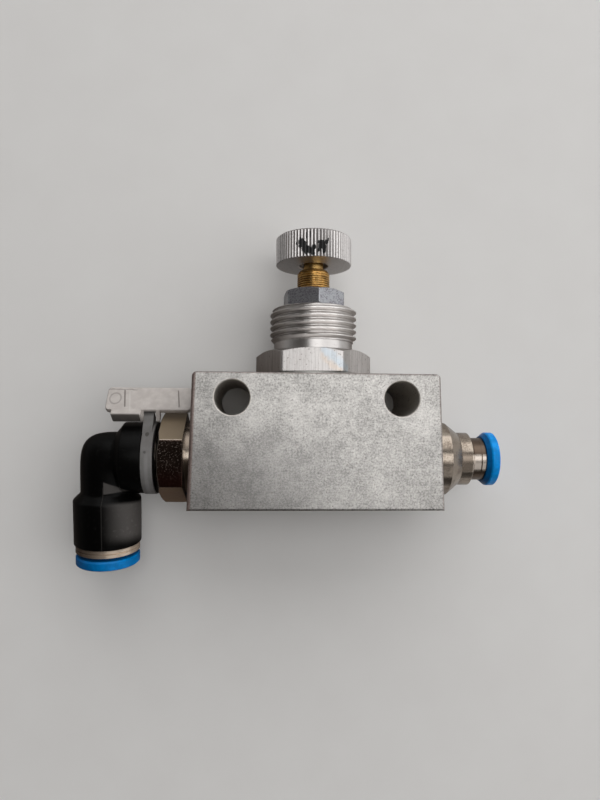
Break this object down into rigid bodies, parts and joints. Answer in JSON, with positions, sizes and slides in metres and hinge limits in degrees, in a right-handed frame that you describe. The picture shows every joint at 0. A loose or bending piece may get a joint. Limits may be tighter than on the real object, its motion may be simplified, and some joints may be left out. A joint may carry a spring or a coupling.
{
  "type": "pneumatic flow control valve",
  "caption": "In-line throttle valve: cast block with a screwed needle, knurled knob, lock nut and panel thread, a straight and an elbow push-in tube fitting.",
  "frame": {"origin": "on the block's back face, where the port axis and the needle axis cross in plan", "axes": "+X along the ports towards the straight fitting, +Y along the needle towards the knob, +Z out of the front face; the valve lies on its back"},
  "size_m": [0.0961, 0.076, 0.026],
  "materials": {
    "cast_block": "matt blasted die casting, grey",
    "gasket": "pale fibre gasket",
    "bonnet_metal": "turned, plain",
    "zinc_plate": "zinc plated",
    "brass": "turned brass, dull",
    "knob_metal": "knurled, plain",
    "sleeve_metal": "turned brass",
    "nickel": "nickel plated brass, warm",
    "stainless": "spring stainless",
    "seal_rubber": "black nitrile rubber",
    "release_blue": "blue moulded ring",
    "elbow_plastic": "black moulded plastic",
    "tie_nylon": "translucent natural nylon, greyed"
  },
  "bodies": {
    "valve": {"valve_body": "cast_block", "bonnet_gasket": "gasket", "bonnet": "bonnet_metal", "throttle_sleeve": "sleeve_metal", "check_collar": "seal_rubber", "sleeve_seal": "seal_rubber", "straight_body": "nickel", "straight_port_seal": "seal_rubber", "straight_collet_sleeve": "nickel", "straight_collet": "stainless", "straight_tube_seal": "seal_rubber", "elbow_stud": "nickel", "elbow_port_seal": "seal_rubber", "swivel_seal": "seal_rubber", "swivel_clip": "stainless"},
    "nut": {"lock_nut": "zinc_plate"},
    "needle_feed": {"spindle_seal": "seal_rubber"},
    "needle": {"spindle": "brass", "knob": "knob_metal"},
    "straight_ring": {"straight_release_ring": "release_blue"},
    "elbow": {"elbow_body": "elbow_plastic", "elbow_collet_sleeve": "nickel", "elbow_collet": "stainless", "elbow_tube_seal": "seal_rubber", "marker_tie": "tie_nylon"},
    "elbow_ring": {"elbow_release_ring": "release_blue"}
  },
  "joints": [
    {"name": "spindle_feed", "type": "slide", "parent": "valve", "child": "needle_feed", "axis": [0, 1, 0], "range_m": [-0.005, 0.001]},
    {"name": "spindle_turn", "type": "hinge", "parent": "needle_feed", "child": "needle", "pos_m": [0, 0, 0.013], "axis": [0, 1, 0], "range_deg": [-3600, 720]},
    {"name": "lock_nut_turn", "type": "hinge", "parent": "valve", "child": "nut", "pos_m": [0, 0.036, 0.013], "axis": [0, 1, 0], "range_deg": [0, 360]},
    {"name": "elbow_swivel", "type": "hinge", "parent": "valve", "child": "elbow", "pos_m": [-0.04, 0, 0.013], "axis": [1, 0, 0], "continuous": true},
    {"name": "straight_release", "type": "slide", "parent": "valve", "child": "straight_ring", "axis": [1, 0, 0], "range_m": [0, 0.001]},
    {"name": "elbow_release", "type": "slide", "parent": "elbow", "child": "elbow_ring", "axis": [0, -0.9903, -0.1392], "range_m": [-0.0006, 0.0003]}
  ],
  "couplings": [
    {"joint": "spindle_feed", "follows": "spindle_turn", "m_per_rad": 0.000079577}
  ]
}
